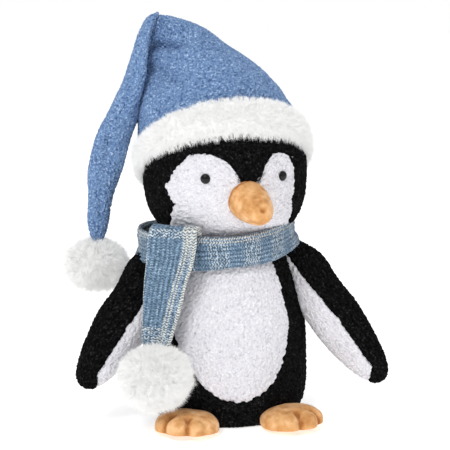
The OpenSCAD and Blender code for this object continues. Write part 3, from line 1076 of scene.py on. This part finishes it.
def cream_lines(from_edge, places, half):
    """1 on each cream line that runs along the scarf."""
    found = np.zeros_like(from_edge)
    for place in places:
        found = np.maximum(found, ease((half + 0.5 - np.abs(from_edge - place)) / 0.7))
    return found


LOOP_R, LOOP_HALF = 71.5, 17.5
LOOP_MIDDLE, LOOP_ROLL = (-5.5, -2.5, 177), -5.0
# Each shoulder's angle round the loop, and how far the loop lifts there.
SHOULDERS = ((-0.17, 0.75), (-2.93, 1.0))
loop, around, c, s = hoop("scarf_loop_weave", 70, 10, 300, 72)
thick, tall = signed_power(c, 0.6), signed_power(s, 0.75)
half_tall = LOOP_HALF - 0.2 + 1.0 * np.sin(2 * around + 1) + 0.8 * np.sin(5 * around)
# The lower edge rides out and up where the loop lies on the two shoulders.
shoulder = np.zeros_like(around)
for place, share in SHOULDERS:
    shoulder += share * hump(np.angle(np.exp(1j * (around - place))), 0.55)
shoulder = shoulder * np.clip(-tall, 0, 1)
r = LOOP_R + thick * 3.2 + tall * 2.4 - 2.2 * tall * tall + 0.8 * np.sin(3 * around + 0.5) + 14 * shoulder
p = np.stack([r * np.cos(around), r * np.sin(around), tall * half_tall + 7 * shoulder], -1)
p[:, 2] += 1.2 * np.sin(around * 2 + 0.6)
ripple = np.sin(p[:, 2] * TURN / 7.0 + np.sin(around * 4) * 1.5) * 0.25 * (c > 0)
p[:, 0] += ripple * np.cos(around)
p[:, 1] += ripple * np.sin(around)
across = tall * LOOP_HALF
along = (around + math.pi) * 72
edge = LOOP_HALF - across
lines = cream_lines(edge, (1.6, 5.0), 0.5) * (c > -0.3)
cross = 0.7 * rows_of_flecks(along, np.arange(4, 470, 32), 17)
cross = np.maximum(cross, 0.5 * ease((6.5 - edge) / 2))
weave_numbers(loop, along, across, cross, lines)
p[:, 0] -= 7 * np.clip(-np.cos(around), 0, 1) ** 2
place_points(loop, turn_y(turn_x(p, 1.0), LOOP_ROLL) + LOOP_MIDDLE)
p, n = points(loop), normals(loop)
rib = across * TURN / RIB
yarn = np.cos(rib) * 0.5 + np.cos(along * TURN / PICK + np.sin(rib) * 1.5) * 0.4
place_points(loop, p + n * (yarn * 0.35 + soft_noise(p, 3, 29) * 0.35)[:, None])
smooth(loop)
dress(loop, scarf_weave)
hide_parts("scarf_loop")
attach(loop, "torso")

# The hanging end's middle line from behind the loop, over its top and down, with its half-width.
SCARF_ROUTE = [
    (-52, -55, 176, 22),
    (-54.5, -59, 190, 22),
    (-58, -64, 198.5, 22.5),
    (-62, -70, 196, 23.5),
    (-63, -73, 186, 24.5),
    (-65.5, -73, 168, 23.5),
    (-69.5, -71, 148, 21.5),
    (-73, -70, 126, 19.2),
    (-76, -69.5, 106, 17.2),
    (-78, -70, 93, 15.5),
    (-80, -71.5, 83, 11.5),
    (-81, -73, 77, 5),
    (-81, -73.5, 75.5, 0.4),
]
end, a, b = sheet_grid("scarf_end_weave", 140, 330)
t = (b + 1) / 2
mx, my, mz, half = curve_through(SCARF_ROUTE, t).T
samples = np.linspace(0, 1, 400)
route = curve_through(SCARF_ROUTE, samples)[:, :3]
run = np.concatenate([[0], np.cumsum(np.linalg.norm(np.diff(route, axis=0), axis=1))])
along = np.interp(t, samples, run)
slope = np.gradient(route, axis=0)
slope /= np.linalg.norm(slope, axis=1)[:, None]
facing = math.radians(27)
width_way = np.array([math.cos(facing), -math.sin(facing), 0.0])
out_way = np.cross(slope, width_way)
out_way /= np.linalg.norm(out_way, axis=1)[:, None]
out = np.stack([np.interp(t, samples, out_way[:, k]) for k in range(3)], -1)
angle = (a + 1) * math.pi
wide, thick = signed_power(np.cos(angle), 0.55), signed_power(np.sin(angle), 0.55)
across = wide * half
pleat = np.cos(across * TURN / RIB + np.sin(along / 22) * 0.6) * (thick > 0) * ease((along - 30) / 20)
bow = 2.5 * (across / 26) ** 2
flare = np.where(wide > 0, 1.5 * ease((along - 40) / 60) * wide * np.sin(along / 13), 0)
rise = thick * 2.6 * np.minimum(1, half / 8) + pleat - bow + flare
place_points(end, np.stack([mx, my, mz], -1) + across[:, None] * width_way - out * rise[:, None])
right_edge, left_edge = half - across, half + across
lines = np.maximum(cream_lines(right_edge, (9.0, 12.4), 0.7), cream_lines(right_edge, (1.0,), 1.7))
lines = np.maximum(lines, 0.6 * cream_lines(left_edge, (0.3,), 0.6))
lines = np.maximum(lines, 0.75 * ease((13 - right_edge) / 3) * ease((72 - along) / 30))
cross = rows_of_flecks(along, (36, 131, 139, 147), 6)
cross = np.maximum(cross, 0.35 * ease((12 - right_edge) / 2) * (right_edge > 2))
weave_numbers(end, along, across, cross, lines)
close_tube(end)
p, n = points(end), normals(end)
place_points(end, p + n * (soft_noise(p, 2.6, 30) * 0.3)[:, None])
smooth(end)
dress(end, scarf_weave)
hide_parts("scarf_tail")
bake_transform(end)


# ---------------------------------------------------------------- flippers


SHOULDER_R = 15
# How far each panel of a flipper laps under the other at their seam.
SEAM_LAP = 4


def flipper(mirror):
    """The flipper's two panels on one form: black outside and white inside."""
    side = -1 if mirror else 1
    name = "right" if mirror else "left"
    start, tip = np.array([60.0, -10, 159]), np.array([145.5, -49.5, 48 if mirror else 43.5])
    reach = float(np.linalg.norm(tip - start)) + (6 if mirror else 9)
    s = np.linspace(0, 1, 300)
    grow = SHOULDER_R + 9.8 * np.sin(np.clip(s / 0.6, 0, 1) * math.pi / 2)
    r = grow * quarter(np.maximum(0, s - 0.42) / 0.58, 2.3)
    lead = [(SHOULDER_R * math.cos(q), SHOULDER_R * math.sin(q)) for q in np.linspace(-math.pi / 2, 0, 30)]
    profile = lead + list(zip(r, s * reach))[1:]
    for panel in ("outer", "inner"):
        piece, d = ball(f"{name}_flipper_{panel}_plush", 72)
        p = turned(d, profile)
        share = p[:, 2] / reach
        seam_side = p[:, 0] + 1.0 * np.sin(p[:, 2] / 17) + ragged(p, 4, 0.9, 15) + 14 * ease((share - 0.88) / 0.1)
        own = seam_side if panel == "outer" else -seam_side
        near = ease((2.5 - own) / (2.5 if panel == "outer" else 1.5))
        squeeze = 1 - 0.22 * ease((0.35 - share) / 0.35) * (p[:, 0] < 0)
        shoulder = 10 * hump(p[:, 2] - 20, 27) * np.clip(p[:, 0] / 15, 0, 1) ** 2
        shoulder = shoulder + 2.5 * hump(p[:, 2] - 75, 30) * np.clip(p[:, 0] / 22, 0, 1)
        q = np.stack([p[:, 0] * squeeze + shoulder, p[:, 1] * 1.06, p[:, 2]], -1)
        place_points(piece, q)
        n = normals(piece)
        low = ease((1.0 - own) / 2.0) * 3.5 if panel == "inner" else 0
        q = q - n * (2.6 * near + low + soft_noise(q, 26, 16 + side) * -0.8)[:, None]
        place_points(piece, q)
        raise_pile(piece, 3.2 if panel == "outer" else 2.2, 2.8, 37 + side)
        place_on_side(piece, along_axis(points(piece), start, tip, (1, 0, 0.6)), side)
        # Only this panel's own half stays, with a lap under the seam.
        delete_points(piece, own < -SEAM_LAP)
        if panel == "outer":
            dress(piece, black_plush)
        else:
            dress(piece, white_plush)
        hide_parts(f"{name}_flipper_{panel}")
        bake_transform(piece)
    wad, d = ball(f"{name}_flipper_wad", 24)
    p = turned(d, profile)
    place_points(wad, p)
    p = p - normals(wad) * 5.5
    place_on_side(wad, along_axis(p, start, tip, (1, 0, 0.6)), side)
    smooth(wad)
    dress(wad, fill_fibre)
    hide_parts(f"{name}_flipper_stuffing")
    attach(wad, f"{name}_flipper")


flipper(False)
flipper(True)


# ---------------------------------------------------------------- feet

FOOT_OUT, FOOT_SPLAY, FOOT_R, FOOT_H = 94, 32.7, 31.5, 20
# The height of a foot's widest line, and the angles of the creases between its toes.
FOOT_WIDE_Z = 6.2
TOE_CREASES = (-24, 24)


def foot_form(name, cuts, side, inset):
    """A stuffed foot with three toes, or its stuffing when it is inset."""
    piece, d = ball(name, cuts)
    plan = np.arctan2(d[:, 0], -d[:, 1])
    flat = np.sqrt(np.clip(1 - d[:, 2] ** 2, 0, 1))
    toes = 1 + 0.035 * np.cos(plan * 360 / 44) * ease((1.25 - np.abs(plan)) / 0.4)
    heel = 1 - 0.06 * ease((np.abs(plan) - 1.6) / 0.6)
    reach = FOOT_R * toes * heel * np.power(flat, 0.8)
    top = np.power(np.clip(d[:, 2], 0, 1), 0.8) * (FOOT_H - FOOT_WIDE_Z)
    low = np.power(np.clip(-d[:, 2], 0, 1), 0.3) * 6
    z = FOOT_WIDE_Z + np.where(d[:, 2] > 0, top, -low)
    p = np.stack([reach * np.sin(plan), -reach * np.cos(plan), z], -1)
    # Painted shade along the creases between the toes.
    crease = np.zeros(len(p))
    for way in TOE_CREASES:
        a = math.radians(way)
        ray = np.array([math.sin(a), -math.cos(a)])
        forward = p[:, :2] @ ray
        off = np.abs(p[:, 0] * ray[1] - p[:, 1] * ray[0])
        line = hump(off, 2.6) * ease((forward - 13) / 8)
        pinch = hump(off, 3.4) * hump(forward - 21, 4.5)
        crease = np.maximum(crease, np.maximum(line * 0.7, pinch))
        p[:, 2] -= (3.0 * line + 2.6 * pinch) * ease((p[:, 2] - 3) / 6)
        p[:, :2] -= ray * (line * ease((forward - 22) / 8) * 2.4)[:, None]
    p = p + (soft_noise(p, 14, 17 + side) * 0.5)[:, None] * d
    place_points(piece, p)
    p = p - normals(piece) * inset
    p[:, 2] = np.maximum(p[:, 2], 0.1 + inset)
    keep_number(piece, "crease", crease)
    p = turn_x(p + (0, -FOOT_R, -2), -4) + (0, FOOT_R - FOOT_OUT, 2)
    p[:, 2] = np.maximum(p[:, 2], 0.1 + inset)
    place_on_side(piece, turn_z(p, FOOT_SPLAY), side)
    smooth(piece)
    return piece


def toe_stitch(name, cover, side, way):
    """One stitch pulled tight down the crease between two toes."""
    piece, round_it, down_it = sheet_grid(name, 8, 24)
    a = math.radians(way)
    ray, centre = turn_z(np.array([[math.sin(a), -math.cos(a), 0], [0, -FOOT_OUT, 0]]), FOOT_SPLAY)
    path = []
    for forward in np.linspace(18, 28, 25):
        spot = (centre + ray * forward) * (side, 1, 1)
        hit, place, _, _ = cover.ray_cast(Vector(spot * MM) + Vector((0, 0, 0.05)), Vector((0, 0, -1)))
        path.append(np.array(place) / MM if hit else spot + (0, 0, 8))
    middle = curve_through(path, (down_it + 1) / 2)
    angle = (round_it + 1) * math.pi
    across, up = np.array([-ray[1] * side, ray[0], 0]) * side, np.array([0, 0, 1])
    thick = 0.45 * np.sqrt(np.clip(1 - down_it ** 2, 0, 1) + 0.02)
    place_points(piece, middle + (np.cos(angle) * thick)[:, None] * across + (np.sin(angle) * thick)[:, None] * up)
    close_tube(piece)
    smooth(piece)
    return piece


def foot(mirror):
    side = -1 if mirror else 1
    name = "right" if mirror else "left"
    piece = foot_form(f"{name}_foot_velour", 64, side, 0)
    dress(piece, orange_velour)
    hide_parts(f"{name}_foot_upper", f"{name}_foot_sole")
    wad = foot_form(f"{name}_foot_wad", 24, side, 2.2)
    dress(wad, fill_fibre)
    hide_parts(f"{name}_foot_stuffing")
    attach(wad, f"{name}_foot")
    for index, way in enumerate(TOE_CREASES):
        stitch = toe_stitch(f"{name}_toe_stitch_{index + 1}", piece, side, way)
        dress(stitch, orange_thread)
        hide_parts(f"{name}_toe_stitches")
        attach(stitch, f"{name}_foot")
    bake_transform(piece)


foot(False)
foot(True)


# ---------------------------------------------------------------- floor, light and camera

deselect()
bpy.ops.mesh.primitive_plane_add(size=14, location=(0, 0, 0))
floor = bpy.context.object
floor.name = "floor"
floor_paint = Finish("pale_floor", 0.9)
paint = floor_paint.ramp(floor_paint.noise(400), (0.3, (0.9, 0.9, 0.9)), (0.7, (0.92, 0.92, 0.92)))
floor_paint.feed("Base Color", paint)
floor_paint.shader.inputs["Emission Color"].default_value = (1, 1, 1, 1)
floor_paint.shader.inputs["Emission Strength"].default_value = 0.58
floor.data.materials.append(floor_paint.material)

world = bpy.data.worlds.new("studio")
world.use_nodes = True
background = world.node_tree.nodes["Background"]
background.inputs["Color"].default_value = (1, 1, 1, 1)
# The backdrop is seen at full brightness but lights the penguin at half.
seen = world.node_tree.nodes.new("ShaderNodeLightPath")
strength = world.node_tree.nodes.new("ShaderNodeMapRange")
strength.inputs["To Min"].default_value, strength.inputs["To Max"].default_value = 0.5, 1.0
world.node_tree.links.new(seen.outputs["Is Camera Ray"], strength.inputs["Value"])
world.node_tree.links.new(strength.outputs["Result"], background.inputs["Strength"])
bpy.context.scene.world = world
bpy.context.scene.view_settings.view_transform = "Standard"


def soft_light(name, place, size, power):
    """A round area light that shines on the penguin's middle."""
    light = bpy.data.lights.new(name, "AREA")
    light.shape, light.size, light.energy = "DISK", size, power
    lamp = bpy.data.objects.new(name, light)
    lamp.location = place
    lamp.rotation_euler = (Vector((0, 0, 0.2)) - Vector(place)).to_track_quat("-Z", "Y").to_euler()
    bpy.context.scene.collection.objects.link(lamp)


soft_light("key", (-1.0, -1.4, 1.8), 0.7, 23)
soft_light("fill", (1.6, -1.2, 0.9), 1.2, 3)
soft_light("top", (0.2, 0.4, 2.2), 1.4, 6)

AIM, REACH = Vector((0, 0, 0.189)), 1.55
turn, rise = math.radians(-10), math.radians(10)
camera = bpy.data.objects.new("camera", bpy.data.cameras.new("camera"))
camera.location = AIM + REACH * Vector(
    (math.sin(turn) * math.cos(rise), -math.cos(turn) * math.cos(rise), math.sin(rise))
)
camera.rotation_euler = (AIM - camera.location).to_track_quat("-Z", "Y").to_euler()
camera.data.sensor_width = 36
camera.data.lens = 124
bpy.context.scene.collection.objects.link(camera)
bpy.context.scene.camera = camera
